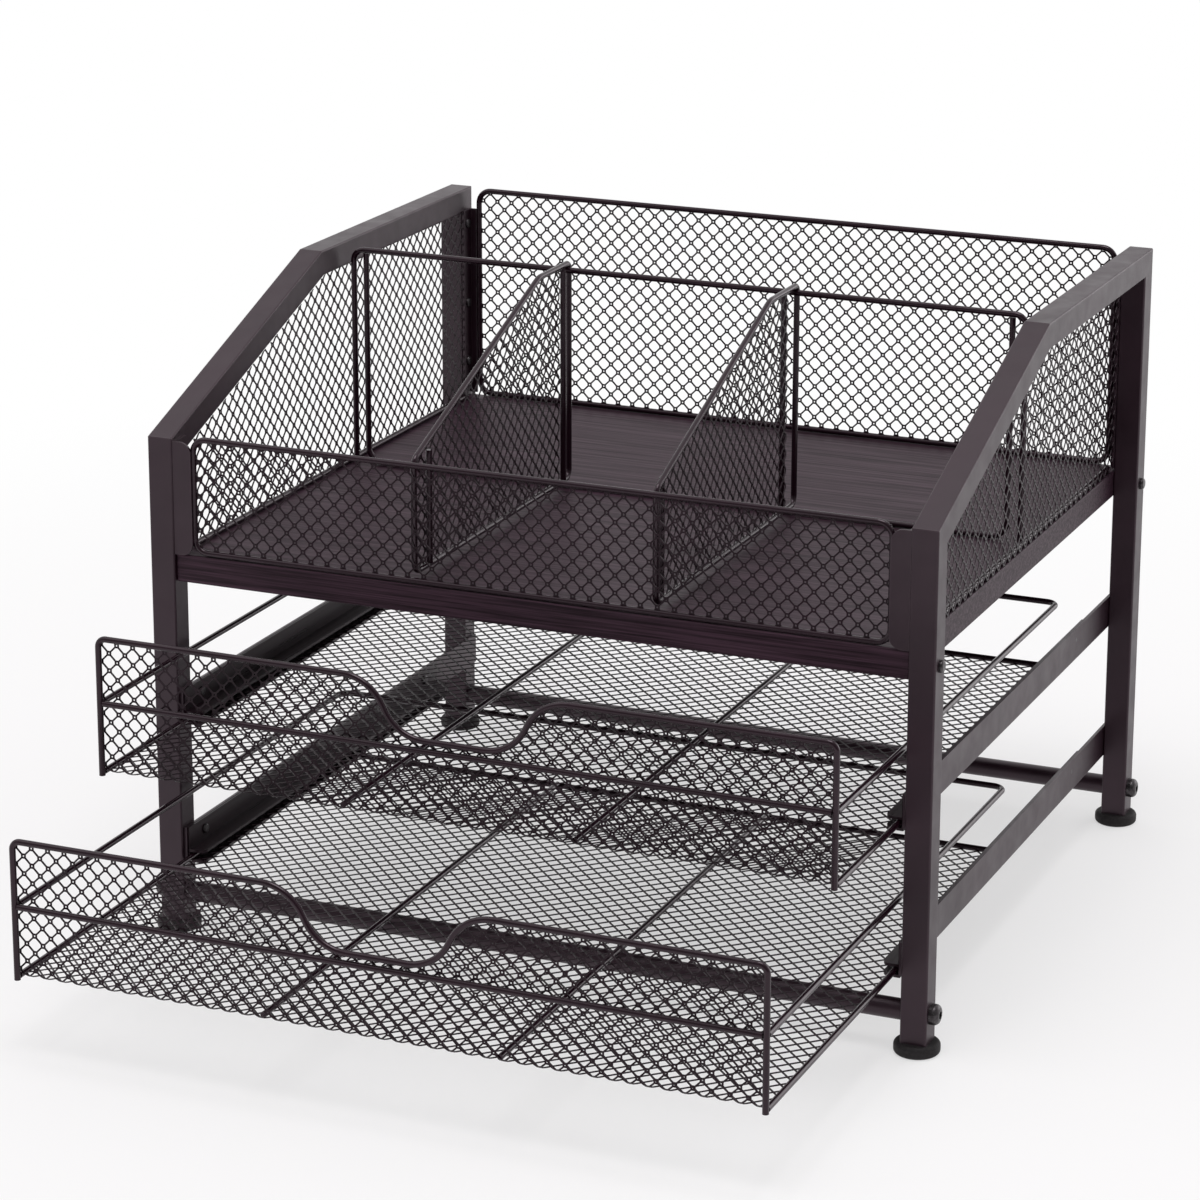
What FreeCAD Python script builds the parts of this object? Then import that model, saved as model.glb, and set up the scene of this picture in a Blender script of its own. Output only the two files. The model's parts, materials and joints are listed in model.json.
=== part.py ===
import FreeCAD, Part
import math
import os
import Sketcher
from FreeCAD import Placement, Rotation, Vector

# A wire-mesh coffee station organizer: two side frames of square tube carry a
# wooden shelf with mesh compartments on it, and two mesh drawers slide on
# runners below it. X runs to the right, Y to the back and Z up. The origin is
# the middle of the floor under the object as it stands, drawers pulled out.

doc = FreeCAD.newDocument("coffee_station_organizer")

# Driving dimensions in millimetres, each with what it means
SIZES = (
    ("frame_width", 400, "width over both side frames"),
    ("frame_depth", 340, "depth of a side frame"),
    ("frame_top", 312.7, "top of the frame above the floor"),
    ("front_top", 253.4, "top of the front post, where the slope starts"),
    ("slope_run", 160, "depth of the sloping tube, seen from above"),
    ("tube_size", 13, "side of the square tube"),
    ("tube_wall", 1, "wall of the square tube"),
    ("tube_round", 0.9, "rounding of the tube's long edges"),
    ("foot_height", 6, "height of a foot pad"),
    ("foot_diameter", 22, "diameter of a foot pad"),
    ("foot_round", 2, "rounding of a foot pad's rims"),
    ("peg_diameter", 10.6, "diameter of the peg that holds a foot in its post"),
    ("peg_length", 8, "length of that peg"),
    ("shelf_top", 195.5, "top of the shelf board above the floor"),
    ("shelf_thickness", 14, "thickness of the shelf board"),
    ("shelf_inset", 2, "board edge behind the posts' faces, front and back"),
    ("shelf_round", 0.8, "rounding of the board's edges"),
    ("crossbar_diameter", 10, "outer diameter of a crossbar"),
    ("crossbar_height", 20, "crossbar's middle above the floor"),
    ("bolt_shank", 5, "shank of a crossbar bolt"),
    ("bolt_reach", 12, "how far a bolt goes into its crossbar"),
    ("bolt_head", 10, "diameter of a bolt's button head"),
    ("bolt_head_height", 4.5, "height of that head"),
    ("bolt_round", 2.5, "rounding of that head"),
    ("socket_size", 4, "hexagon socket, corner to corner"),
    ("socket_depth", 2.5, "depth of that socket"),
    ("screw_shank", 3, "shank of a shelf screw"),
    ("screw_reach", 12, "how far a shelf screw goes into the board"),
    ("screw_head", 6, "diameter of a shelf screw's head"),
    ("screw_head_height", 2, "height of that head"),
    ("screw_round", 1.2, "rounding of that head"),
    ("rivet_shank", 2.4, "shank of a rivet"),
    ("rivet_head", 5, "diameter of a rivet's head"),
    ("rivet_head_height", 1.2, "height of that head"),
    ("rivet_round", 0.9, "rounding of that head"),
    ("hole_play", 0.1, "how much wider a hole is than its shank"),
    ("wire", 3, "diameter of every bent wire"),
    ("mesh_sheet", 1.2, "thickness of the mesh and of the small brackets"),
    ("mesh_pitch", 34, "mesh opening, corner to corner, strand to strand"),
    ("mesh_strand", 4.8, "width of a mesh strand"),
    ("mesh_rim", 2, "plain rim around a sheet of mesh"),
    ("weld_gap", 0.1, "gap left where one wire is welded to another piece"),
    ("front_panel_rise", 58, "front panel's top wire above the shelf"),
    ("panel_bend", 7, "corner bend of the front and back panels"),
    ("panel_inset", 9.8, "front panel's upright wires inside the posts"),
    ("tab_rise", 56.5, "height of a front tab"),
    ("tab_round", 6, "rounding of a front tab's inner corners"),
    ("back_panel_drop", 1.2, "back panel's top wire below the frame's top"),
    ("strip_reach", 4.4, "how far a back strip reaches in from its post"),
    ("strip_low", 1.5, "back strip's lower end above the shelf"),
    ("strip_drop", 11.7, "back strip's upper end below the top of the frame"),
    ("rivet_inset", 4.5, "back rivets behind the post's front face"),
    ("rivet_low", 20.5, "lowest back rivet above the shelf"),
    ("rivet_middle", 53.5, "middle back rivet above the shelf"),
    ("rivet_high", 98, "highest back rivet above the shelf"),
    ("mesh_overlap", 6, "how far a side mesh laps over its frame's tubes"),
    ("side_gap", 0.2, "gap between a side mesh and the brackets beside it"),
    ("side_wire_inset", 2, "side wire's ends inside the ends of its mesh"),
    ("cross_place", 14, "cross frame behind the middle of the side frames"),
    ("cross_rise", 114, "cross frame's top wire above the shelf"),
    ("cross_bend", 6, "corner bend of the cross frame"),
    ("brace_inset", 7.1, "cross brace inside the cross frame's legs"),
    ("brace_bend", 8, "corner bend of the cross brace"),
    ("divider_place", 61.5, "a divider's distance from the middle"),
    ("divider_level", 37, "level part of a divider's top wire"),
    ("divider_lift", 1.5, "divider's front corner above the front panel"),
    ("divider_bend", 5, "corner bend of a divider"),
    ("divider_knee", 15, "bend where a divider's slope starts"),
    ("stay_inset", 12, "a stay's distance from its end of the divider"),
    ("upper_height", 111.8, "upper drawer's floor wire above the floor"),
    ("lower_height", 39.9, "lower drawer's floor wire above the floor"),
    ("upper_out", 80.8, "how far the upper drawer stands out"),
    ("lower_out", 161.7, "how far the lower drawer stands out"),
    ("drawer_length", 328, "drawer length, wire middle to wire middle"),
    ("drawer_rise", 66, "drawer's top wire above its floor wire"),
    ("drawer_bend", 4, "corner bend of a drawer's front and floor wires"),
    ("guard_rise", 34.2, "guard wire above the drawer's floor wire"),
    ("guard_bend", 6, "corner bend of the guard wire"),
    ("notch_shoulder", 42, "finger notch, half width at its shoulders"),
    ("notch_floor", 29, "finger notch, half width at its floor"),
    ("notch_depth", 27, "depth of the finger notch"),
    ("notch_bend", 22.5, "bends of the finger notch"),
    ("floor_wire_place", 58, "a floor wire's distance from the middle"),
    ("rail_thickness", 1.5, "thickness of a side rail"),
    ("rail_width", 16.4, "height of a side rail"),
    ("rail_drop", 1.6, "side rail's lower edge below the drawer's floor wire"),
    ("rail_inset", 2, "side rail's ends inside the posts' outer faces"),
    ("runner_length", 282, "length of a runner"),
    ("runner_web", 0.8, "thickness of a runner's back"),
    ("runner_lip", 1.4, "thickness of a runner's two lips"),
    ("runner_reach", 9, "how far the lips reach in from the rail"),
    ("runner_rise", 14.6, "top of the runner above the drawer's floor wire"),
    ("runner_round", 4, "rounding of the lips' front corners"),
    ("run_gap", 0.4, "gap between a drawer's floor wire and its runner's lips and back"),
    ("closed_gap", 0.3, "gap between a closed drawer's front sheet and the runners' front ends"),
    ("runner_rivet_rise", 8.7, "runner rivets above the drawer's floor wire"),
    ("runner_rivet_inset", 16, "runner rivets from the runner's ends"),
)

sheet = doc.addObject("Spreadsheet::Sheet", "dims")
for row, (alias, size, meaning) in enumerate(SIZES, start=1):
    sheet.set(f"A{row}", meaning)
    sheet.set(f"B{row}", str(size))
    sheet.setAlias(f"B{row}", alias)
doc.recompute()

# Places worked out from the driving dimensions
HALF_DEPTH = "dims.frame_depth / 2"
INNER_FACE = "(dims.frame_width / 2 - dims.tube_size)"
POST_X = "(dims.frame_width - dims.tube_size) / 2"
POST_Y = "(dims.frame_depth - dims.tube_size) / 2"
SLOPE = "((dims.frame_top - dims.front_top) / dims.slope_run)"
SLANT = f"sqrt(1 + {SLOPE}^2)"
WIRE_RADIUS = "dims.wire / 2"
OBJECT_FRONT = f"({HALF_DEPTH} + dims.lower_out + {WIRE_RADIUS})"
OBJECT_BACK = f"({POST_Y} + dims.foot_diameter / 2)"
FRAME_MIDDLE = f"({OBJECT_FRONT} - {OBJECT_BACK}) / 2"
TOUCH = "(dims.wire / 2 + dims.weld_gap)"
BESIDE = "(dims.wire + dims.weld_gap)"
ON_SHELF = f"(dims.shelf_top + {TOUCH})"
SHEET_FACE = f"({INNER_FACE} - dims.mesh_sheet)"
PANEL_Y = f"({HALF_DEPTH} - dims.shelf_inset - {WIRE_RADIUS})"
FRONT_TOP_WIRE = "(dims.shelf_top + dims.front_panel_rise)"
BACK_TOP_WIRE = f"(dims.frame_top - dims.back_panel_drop)"
SIDE_WIRE_X = f"({SHEET_FACE} - {TOUCH})"
CROSS_X = f"({SIDE_WIRE_X} - {BESIDE})"
CROSS_TOP = "(dims.shelf_top + dims.cross_rise)"
RAIL_FACE = f"({INNER_FACE} - dims.rail_thickness)"
SHEET_BACK = f"({TOUCH} + dims.mesh_sheet)"
RUNNER_FRONT = f"({SHEET_BACK} + dims.closed_gap - {HALF_DEPTH})"
DRAWER_HALF = f"({RAIL_FACE} - dims.runner_web - dims.run_gap - {WIRE_RADIUS})"
SCREW_HEIGHT = "(dims.shelf_top - dims.shelf_thickness / 2)"
BOLT_HOLE = "dims.bolt_shank + dims.hole_play"
SCREW_HOLE = "dims.screw_shank + dims.hole_play"
RIVET_HOLE = "dims.rivet_shank + dims.hole_play"

SIDES = (("left", -1), ("right", 1))
ENDS = (("front", -1), ("back", 1))
DRAWERS = ("upper", "lower")
ACROSS = Vector(1, 0, 0)
ALONG = Vector(0, 1, 0)
UP = Vector(0, 0, 1)
CLOSE = 0.01  # places nearer than this count as one

kept = []


def value(expression):
    """The number that an expression of the sheet gives."""
    result = sheet.evalExpression(expression)
    return float(getattr(result, "Value", result))


def keep(piece, label):
    """Name a piece as a sub-part of its own."""
    piece.Label = label
    kept.append(piece)
    return piece


def place(piece, across="0", along="0", up="0"):
    """Put a piece at its place, measured from the middle of the side frames."""
    piece.setExpression("Placement.Base.x", across)
    piece.setExpression("Placement.Base.y", f"{along} + {FRAME_MIDDLE}")
    piece.setExpression("Placement.Base.z", up)


def new_body(label):
    """A body that holds one solid piece."""
    return keep(doc.addObject("PartDesign::Body", label), label)


def sketch_on(body, plane, offset="0"):
    """A sketch on one of the body's own planes, or on a plane parallel to it."""
    sketch = body.newObject("Sketcher::SketchObject", "sketch")
    face = next(item for item in body.Origin.OriginFeatures if item.Role == plane)
    sketch.AttachmentSupport = [(face, "")]
    sketch.MapMode = "FlatFace"
    sketch.setExpression("AttachmentOffset.Base.z", offset)
    return sketch


def bind(sketch, kind, *target, to):
    """Add a constraint whose size is an expression of the sheet."""
    number = sketch.addConstraint(Sketcher.Constraint(kind, *target, value(to)))
    sketch.setExpression(f"Constraints[{number}]", to)


def arc_between(start, centre, end, radius):
    """The short arc from start to end, drawn anticlockwise as sketches want it."""
    first = math.atan2(start.y - centre.y, start.x - centre.x)
    last = math.atan2(end.y - centre.y, end.x - centre.x)
    if (last - first) % math.tau > math.pi:
        first, last = last, first
    sweep = (last - first) % math.tau
    return Part.ArcOfCircle(Part.Circle(centre, UP, radius), first, first + sweep)


def corner_arc(before, corner, after, radius):
    """Where a bend of this radius leaves the two lines that meet in a corner, and its arc."""
    back = (before - corner).normalize()
    ahead = (after - corner).normalize()
    half = back.getAngle(ahead) / 2
    start = corner + back * (radius / math.tan(half))
    end = corner + ahead * (radius / math.tan(half))
    centre = corner + (back + ahead).normalize() * (radius / math.sin(half))
    return start, end, arc_between(start, centre, end, radius)


def draw_line(sketch, corners, closed=True):
    """Draw a line through corners, each given as two places and the radius of its bend.

    Every corner is a construction point bound to its two expressions. The
    straight runs pass through these points and the bends touch the runs.
    """
    points = [Vector(value(first), value(second), 0) for first, second, _ in corners]
    radii = [value(bend) for _, _, bend in corners]
    count = len(corners)
    bends = {}
    ends = []
    for here in range(count):
        if radii[here] > 0:
            after = points[(here + 1) % count]
            start, end, arc = corner_arc(points[here - 1], points[here], after, radii[here])
            bends[here] = arc
            ends.append((start, end))
        else:
            ends.append((points[here], points[here]))
    runs = []
    arcs = {}
    for here in range(count if closed else count - 1):
        if here in bends:
            arcs[here] = sketch.addGeometry(bends[here])
        there = (here + 1) % count
        runs.append(sketch.addGeometry(Part.LineSegment(ends[here][1], ends[there][0])))
    for here in range(count):
        point = sketch.addGeometry(Part.Point(points[here]), True)
        bind(sketch, "DistanceX", -1, 1, point, 1, to=corners[here][0])
        bind(sketch, "DistanceY", -1, 1, point, 1, to=corners[here][1])
        before = runs[here - 1] if closed or here > 0 else None
        after = runs[here] if closed or here < count - 1 else None
        if here not in bends:
            if before is not None:
                sketch.addConstraint(Sketcher.Constraint("Coincident", before, 2, point, 1))
            if after is not None:
                sketch.addConstraint(Sketcher.Constraint("Coincident", after, 1, point, 1))
            continue
        sketch.addConstraint(Sketcher.Constraint("PointOnObject", point, 1, before))
        sketch.addConstraint(Sketcher.Constraint("PointOnObject", point, 1, after))
        arc = arcs[here]
        starts_here = bends[here].StartPoint.isEqual(ends[here][0], CLOSE)
        near, far = (1, 2) if starts_here else (2, 1)
        sketch.addConstraint(Sketcher.Constraint("Tangent", before, 2, arc, near))
        sketch.addConstraint(Sketcher.Constraint("Tangent", arc, far, after, 1))
        bind(sketch, "Radius", arc, to=corners[here][2])
    return sketch


def draw_circle(sketch, first, second, diameter):
    """Draw a circle at two places given as expressions."""
    centre = Vector(value(first), value(second), 0)
    circle = sketch.addGeometry(Part.Circle(centre, UP, value(diameter) / 2))
    bind(sketch, "Diameter", circle, to=diameter)
    bind(sketch, "DistanceX", -1, 1, circle, 3, to=first)
    bind(sketch, "DistanceY", -1, 1, circle, 3, to=second)
    return sketch


def sharp(*places):
    """Corners without a bend."""
    return [(first, second, "0") for first, second in places]


def pad(body, sketch, length, both_ways=False, backwards=False):
    """Give a sketch its thickness."""
    feature = body.newObject("PartDesign::Pad", "pad")
    feature.Profile = sketch
    feature.SideType = "Symmetric" if both_ways else "One side"
    feature.Reversed = backwards
    feature.setExpression("Length", length)
    doc.recompute()
    return feature


def cut(body, sketch, length=None, both_ways=True, backwards=False):
    """Cut a sketch out of the body, right through it where no length is given."""
    before = body.Shape.Volume
    feature = body.newObject("PartDesign::Pocket", "pocket")
    feature.Profile = sketch
    feature.SideType = "Symmetric" if both_ways else "One side"
    feature.Reversed = backwards
    if length is None:
        feature.Type = "ThroughAll"
    else:
        feature.setExpression("Length", length)
    doc.recompute()
    if body.Shape.Volume >= before:
        raise RuntimeError(f"a cut missed {body.Label}")


def round_edges(body, radius, wanted):
    """Round the straight edges of the body whose two ends answer to wanted."""
    before = body.Tip
    names = []
    for number, edge in enumerate(before.Shape.Edges, start=1):
        ends = [vertex.Point for vertex in edge.Vertexes]
        if len(ends) == 2 and wanted(*ends):
            names.append(f"Edge{number}")
    feature = body.newObject("PartDesign::Fillet", "rounding")
    feature.Base = (before, names)
    feature.setExpression("Radius", radius)
    doc.recompute()


def bent_wire(label, plane, corners, closed, start_plane, start, offset="0"):
    """A round wire bent along a line, started from a circle drawn across it."""
    body = new_body(label)
    path = draw_line(sketch_on(body, plane), corners, closed)
    profile = draw_circle(sketch_on(body, start_plane, offset), *start, "dims.wire")
    doc.recompute()
    feature = body.newObject("PartDesign::AdditivePipe", "pipe")
    feature.Profile = profile
    runs = len(path.Shape.Edges)
    feature.Spine = (path, [f"Edge{number}" for number in range(1, runs + 1)])
    doc.recompute()
    return body, path


def straight_wire(name, turn, length):
    """A straight length of wire, turned from upright."""
    rod = doc.addObject("Part::Cylinder", name)
    rod.Placement = Placement(Vector(), turn)
    rod.setExpression("Radius", WIRE_RADIUS)
    rod.setExpression("Height", length)
    return rod


def turned(label, corners):
    """A round piece, turned from half of its outline about the upright axis."""
    body = doc.addObject("PartDesign::Body", label)
    sketch = draw_line(sketch_on(body, "XZ_Plane"), corners)
    feature = body.newObject("PartDesign::Revolution", "turning")
    feature.Profile = sketch
    feature.ReferenceAxis = (sketch, ["V_Axis"])
    doc.recompute()
    return body


def set_of(label, pattern, spots):
    """Copies of one fastener, each a solid of its own, set at places and turns."""
    copies = []
    for across, along, up, turn in spots:
        copy = pattern.Shape.copy()
        copy.Placement = Placement(Vector(value(across), value(along), value(up)), turn)
        copies.append(copy)
    group = doc.addObject("Part::Feature", label)
    group.Shape = Part.makeCompound(copies)
    place(group)
    return keep(group, label)


# Side frames: a front post, a sloping tube, a top tube and a back post, mitred

def frame_corners(depth):
    """Corners of a side frame, this far inside its outline, as places along Y and Z."""
    front = f"{depth} - {HALF_DEPTH}"
    back = f"{HALF_DEPTH} - ({depth})"
    top = f"dims.frame_top - ({depth})"
    slope_start = f"dims.front_top + {SLOPE} * ({depth}) - {SLANT} * ({depth})"
    slope_end = f"dims.slope_run - {HALF_DEPTH} + ({SLANT} - 1) * ({depth}) / {SLOPE}"
    return (
        (front, "dims.foot_height"),
        (front, slope_start),
        (slope_end, top),
        (back, top),
        (back, "dims.foot_height"),
    )


def tube(label, side, number):
    """One mitred length of square tube, open at its ends."""
    body = new_body(label)
    outer = frame_corners("0")
    inner = frame_corners("dims.tube_size")
    outline = (outer[number], outer[number + 1], inner[number + 1], inner[number])
    pad(body, draw_line(sketch_on(body, "YZ_Plane"), sharp(*outline)), "dims.tube_size", both_ways=True)
    outer = frame_corners("dims.tube_wall")
    inner = frame_corners("(dims.tube_size - dims.tube_wall)")
    hollow = (outer[number], outer[number + 1], inner[number + 1], inner[number])
    hollow_width = "dims.tube_size - 2 * dims.tube_wall"
    cut(body, draw_line(sketch_on(body, "YZ_Plane"), sharp(*hollow)), hollow_width)
    side_face = value("dims.tube_size") / 2
    length = value("dims.tube_size") * 2
    round_edges(body, "dims.tube_round", lambda start, end: (
        abs(abs(start.x) - side_face) < CLOSE
        and abs(start.x - end.x) < CLOSE
        and start.distanceToPoint(end) > length
    ))
    place(body, across=f"{side} * {POST_X}")
    return body


def drill_post(body, end):
    """Holes right through a post for its crossbar bolt and its shelf screw."""
    sketch = sketch_on(body, "YZ_Plane")
    draw_circle(sketch, f"{end} * {POST_Y}", "dims.crossbar_height", BOLT_HOLE)
    draw_circle(sketch, f"{end} * {POST_Y}", SCREW_HEIGHT, SCREW_HOLE)
    cut(body, sketch)


RIVET_Y = f"({HALF_DEPTH} - dims.tube_size + dims.rivet_inset)"
RIVET_HEIGHTS = ("dims.rivet_low", "dims.rivet_middle", "dims.rivet_high")


def drill_rivets(body, side=None):
    """Holes for the three rivets of a back strip, in the strip or in one wall of its post."""
    sketch = sketch_on(body, "YZ_Plane")
    for height in RIVET_HEIGHTS:
        draw_circle(sketch, RIVET_Y, f"dims.shelf_top + {height}", RIVET_HOLE)
    if side is None:
        cut(body, sketch)
    else:
        cut(body, sketch, "dims.tube_size / 2", both_ways=False, backwards=side < 0)


for side_name, side in SIDES:
    front_post = tube(f"{side_name}_front_post", side, 0)
    drill_post(front_post, -1)
    tube(f"{side_name}_slope_tube", side, 1)
    tube(f"{side_name}_top_tube", side, 2)
    back_post = tube(f"{side_name}_back_post", side, 3)
    drill_post(back_post, 1)
    drill_rivets(back_post, side)

# Feet: a pad with rounded rims, held by a peg in the open end of each post
foot = turned("foot", (
    ("0", "0", "0"),
    ("dims.foot_diameter / 2", "0", "dims.foot_round"),
    ("dims.foot_diameter / 2", "dims.foot_height", "dims.foot_round"),
    ("dims.peg_diameter / 2", "dims.foot_height", "0"),
    ("dims.peg_diameter / 2", "dims.foot_height + dims.peg_length", "0"),
    ("0", "dims.foot_height + dims.peg_length", "0"),
))
upright = Rotation()
set_of("feet", foot, [
    (f"{side} * {POST_X}", f"{end} * {POST_Y}", "0", upright)
    for _, side in SIDES for _, end in ENDS
])

# Crossbars: round tubes between the posts, with a bolt in each end
for end_name, end in ENDS:
    crossbar = new_body(f"{end_name}_crossbar")
    ring = sketch_on(crossbar, "YZ_Plane")
    draw_circle(ring, "0", "0", "dims.crossbar_diameter")
    draw_circle(ring, "0", "0", BOLT_HOLE)
    pad(crossbar, ring, f"2 * {INNER_FACE}", both_ways=True)
    place(crossbar, along=f"{end} * {POST_Y}", up="dims.crossbar_height")

bolt = turned("crossbar_bolt", (
    ("0", "-(dims.tube_size + dims.bolt_reach)", "0"),
    ("dims.bolt_shank / 2", "-(dims.tube_size + dims.bolt_reach)", "0"),
    ("dims.bolt_shank / 2", "0", "0"),
    ("dims.bolt_head / 2", "0", "0"),
    ("dims.bolt_head / 2", "dims.bolt_head_height", "dims.bolt_round"),
    ("0", "dims.bolt_head_height", "0"),
))
corner_count = 6
socket_corners = []
for number in range(corner_count):
    turn = math.tau * number / corner_count
    across = f"{math.cos(turn):.6f} * dims.socket_size / 2"
    socket_corners.append((across, f"{math.sin(turn):.6f} * dims.socket_size / 2"))
socket = draw_line(sketch_on(bolt, "XY_Plane", "dims.bolt_head_height"), sharp(*socket_corners))
cut(bolt, socket, "dims.socket_depth", both_ways=False)

outwards = {side: Rotation(UP, ACROSS * side) for _, side in SIDES}
inwards = {side: Rotation(UP, ACROSS * -side) for _, side in SIDES}
set_of("crossbar_bolts", bolt, [
    (f"{side} * dims.frame_width / 2", f"{end} * {POST_Y}", "dims.crossbar_height", outwards[side])
    for _, side in SIDES for _, end in ENDS
])

# Shelf: a board between the side frames, screwed through the posts
board = new_body("shelf_board")
BOARD_Y = f"({HALF_DEPTH} - dims.shelf_inset)"
board_outline = sharp(
    (f"-{INNER_FACE}", f"-{BOARD_Y}"),
    (INNER_FACE, f"-{BOARD_Y}"),
    (INNER_FACE, BOARD_Y),
    (f"-{INNER_FACE}", BOARD_Y),
)
pad(board, draw_line(sketch_on(board, "XY_Plane"), board_outline), "dims.shelf_thickness", backwards=True)
board_edge = value(BOARD_Y) - value("dims.shelf_round")
round_edges(board, "dims.shelf_round", lambda start, end: min(abs(start.y), abs(end.y)) > board_edge)
for side_name, side in SIDES:
    pilot = sketch_on(board, "YZ_Plane", f"{side} * {INNER_FACE}")
    for _, end in ENDS:
        draw_circle(pilot, f"{end} * {POST_Y}", "-dims.shelf_thickness / 2", SCREW_HOLE)
    cut(board, pilot, "dims.screw_reach", both_ways=False, backwards=side < 0)
place(board, up="dims.shelf_top")

screw = turned("shelf_screw", (
    ("0", "-(dims.tube_size + dims.screw_reach)", "0"),
    ("dims.screw_shank / 2", "-(dims.tube_size + dims.screw_reach)", "0"),
    ("dims.screw_shank / 2", "0", "0"),
    ("dims.screw_head / 2", "0", "0"),
    ("dims.screw_head / 2", "dims.screw_head_height", "dims.screw_round"),
    ("0", "dims.screw_head_height", "0"),
))
set_of("shelf_screws", screw, [
    (f"{side} * dims.frame_width / 2", f"{end} * {POST_Y}", SCREW_HEIGHT, outwards[side])
    for _, side in SIDES for _, end in ENDS
])


# Mesh: a thin sheet with square openings that stand on their corners

def mesh_face(outline, across, up):
    """The flat outline with the mesh's openings cut out, whole ones and clipped ones."""
    pitch = value("dims.mesh_pitch")
    reach = pitch / 2 - value("dims.mesh_strand") / math.sqrt(2)
    smallest = value("dims.mesh_strand") ** 2
    inside = outline.makeOffset2D(-value("dims.mesh_rim"))
    corners = [Vector(vertex.Point) for vertex in outline.Vertexes]
    firsts = [corner.dot(across) for corner in corners]
    seconds = [corner.dot(up) for corner in corners]
    level = corners[0] - across * firsts[0] - up * seconds[0]
    half = pitch / 2
    steps = (across * reach, up * reach, across * -reach, up * -reach)
    openings = []
    for column in range(math.floor(min(firsts) / half), math.ceil(max(firsts) / half) + 1):
        for line in range(math.floor(min(seconds) / half), math.ceil(max(seconds) / half) + 1):
            if (column + line) % 2:
                continue
            middle = level + across * (column * half) + up * (line * half)
            tips = [middle + step for step in steps]
            diamond = Part.makePolygon([*tips, tips[0]])
            if all(inside.isInside(tip, CLOSE, True) for tip in tips):
                openings.append(diamond)
                continue
            clipped = inside.common(Part.Face(diamond))
            openings += [face.OuterWire for face in clipped.Faces if face.Area > smallest]
    return Part.makeFace([outline.OuterWire, *openings], "Part::FaceMakerBullseye")


def inside_wire(path):
    """The flat face inside a bent wire, clear of the wire by the weld gap.

    Both ends of an open wire are lengthened before a line closes it.
    """
    line = path.Shape.Wires[0]
    edges = list(line.OrderedEdges)
    if not line.isClosed():
        points = [vertex.Point for vertex in line.OrderedVertexes]
        longer = 2 * value(BESIDE)
        start = points[0] + (points[0] - points[1]).normalize() * longer
        end = points[-1] + (points[-1] - points[-2]).normalize() * longer
        edges += Part.makePolygon([points[-1], end, start, points[0]]).Edges
    return Part.Face(Part.Wire(edges)).makeOffset2D(-value(TOUCH)).Faces[0]


def mesh_sheet(label, outline, across, up):
    """A sheet of mesh whose middle lies in the plane of its outline."""
    through = across.cross(up) * value("dims.mesh_sheet")
    near = outline.translated(through * -0.5)
    piece = doc.addObject("Part::Feature", label)
    piece.Shape = mesh_face(near, across, up).extrude(through)
    return keep(piece, label)


# Front panel: a wire loop filled with mesh. Its upright wires are welded behind two tabs on the posts.
PANEL_X = f"({INNER_FACE} - dims.panel_inset)"
front_loop, front_path = bent_wire(
    "front_panel_wire", "XZ_Plane",
    (
        ("0", FRONT_TOP_WIRE, "0"),
        (PANEL_X, FRONT_TOP_WIRE, "dims.panel_bend"),
        (PANEL_X, ON_SHELF, "dims.panel_bend"),
        (f"-{PANEL_X}", ON_SHELF, "dims.panel_bend"),
        (f"-{PANEL_X}", FRONT_TOP_WIRE, "dims.panel_bend"),
    ),
    True, "YZ_Plane", ("0", FRONT_TOP_WIRE),
)
place(front_loop, along=f"-{PANEL_Y}")
place(mesh_sheet("front_panel_mesh", inside_wire(front_path), ACROSS, UP), along=f"-{PANEL_Y}")

TAB_BACK = "-dims.weld_gap"
TAB_FRONT = f"({TAB_BACK} - dims.mesh_sheet)"
for side_name, side in SIDES:
    tab = new_body(f"{side_name}_front_tab")
    tab_edge = f"{side} * {PANEL_X}"
    pad(tab, draw_line(sketch_on(tab, "XY_Plane"), sharp(
        (f"{side} * {INNER_FACE}", "dims.tube_size - dims.shelf_inset"),
        (f"{side} * {INNER_FACE}", TAB_FRONT),
        (tab_edge, TAB_FRONT),
        (tab_edge, TAB_BACK),
        (f"{side} * {SHEET_FACE}", TAB_BACK),
        (f"{side} * {SHEET_FACE}", "dims.tube_size - dims.shelf_inset"),
    )), "dims.tab_rise")
    tab_tip = value(tab_edge)
    round_edges(tab, "dims.tab_round", lambda start, end: (
        abs(start.x - tab_tip) < CLOSE and abs(end.x - tab_tip) < CLOSE and abs(start.z - end.z) < CLOSE
    ))
    place(tab, along=f"dims.shelf_inset - {HALF_DEPTH}", up="dims.shelf_top")

# Back panel: a wire loop filled with mesh, held by two riveted strips
BACK_X = f"({INNER_FACE} - dims.strip_reach - {TOUCH})"
back_loop, back_path = bent_wire(
    "back_panel_wire", "XZ_Plane",
    (
        ("0", BACK_TOP_WIRE, "0"),
        (BACK_X, BACK_TOP_WIRE, "dims.panel_bend"),
        (BACK_X, ON_SHELF, "dims.panel_bend"),
        (f"-{BACK_X}", ON_SHELF, "dims.panel_bend"),
        (f"-{BACK_X}", BACK_TOP_WIRE, "dims.panel_bend"),
    ),
    True, "YZ_Plane", ("0", BACK_TOP_WIRE),
)
place(back_loop, along=PANEL_Y)
place(mesh_sheet("back_panel_mesh", inside_wire(back_path), ACROSS, UP), along=PANEL_Y)

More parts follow.
